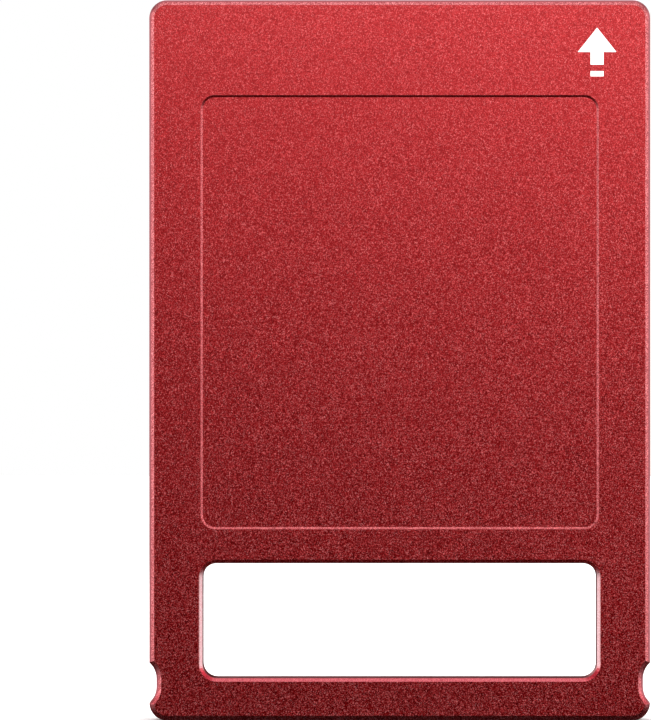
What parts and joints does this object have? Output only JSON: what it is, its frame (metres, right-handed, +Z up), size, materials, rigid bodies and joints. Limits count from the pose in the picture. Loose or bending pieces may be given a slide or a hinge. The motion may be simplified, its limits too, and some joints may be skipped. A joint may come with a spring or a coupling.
{
  "type": "solid state drive",
  "caption": "Flat 2.5-inch solid state drive in a milled aluminium body, with a window at one end as a pull handle, latch notches in its sides and a serial drive connector at the other end.",
  "frame": {"origin": "centre of the foot of the object's box: the middle of the flat handle end, at mid-thickness", "axes": "+Z up along the drive's length, from the handle end to the connector end; +X across its width; +Y through its thickness, from the front face to the back"},
  "size_m": [0.0698, 0.007, 0.1005],
  "materials": {
    "anodised_shell": "bead-blasted, red anodised",
    "anodised_cover": "bead-blasted, red anodised",
    "black_steel": "blackened",
    "bright_steel": "bright",
    "white_ink": "printed",
    "label_foil": "satin",
    "amber_film": "glossy",
    "board_laminate": "solder resist",
    "connector_plastic": "moulded",
    "gold_plate": "gold plated",
    "chip_epoxy": "moulded",
    "inductor_ferrite": "moulded",
    "tantalum_epoxy": "moulded",
    "capacitor_ceramic": "fired",
    "resistor_glaze": "glazed",
    "fuse_ceramic": "glazed",
    "pad_silicone": "soft"
  },
  "bodies": {
    "root": {"front_shell": "anodised_shell", "back_cover": "anodised_cover", "cover_screws": "black_steel", "front_mark": "white_ink", "rear_label": "label_foil", "insulating_film": "amber_film", "circuit_board": "board_laminate", "board_screws": "bright_steel", "sata_plug_housing": "connector_plastic", "signal_contacts": "gold_plate", "power_contacts": "gold_plate", "plug_hold_downs": "bright_steel", "controller_chip": "chip_epoxy", "cache_memory_chip": "chip_epoxy", "flash_chip_1": "chip_epoxy", "flash_chip_2": "chip_epoxy", "flash_chip_3": "chip_epoxy", "flash_chip_4": "chip_epoxy", "power_management_chip": "chip_epoxy", "firmware_chip": "chip_epoxy", "load_switch": "chip_epoxy", "power_inductors": "inductor_ferrite", "bulk_capacitors": "tantalum_epoxy", "ceramic_capacitors": "capacitor_ceramic", "decoupling_capacitors": "capacitor_ceramic", "chip_resistors": "resistor_glaze", "crystal_oscillator": "bright_steel", "input_fuse": "fuse_ceramic", "surge_diode": "chip_epoxy", "temperature_sensor": "chip_epoxy", "controller_thermal_pad": "pad_silicone", "flash_thermal_pads": "pad_silicone"}
  },
  "joints": []
}
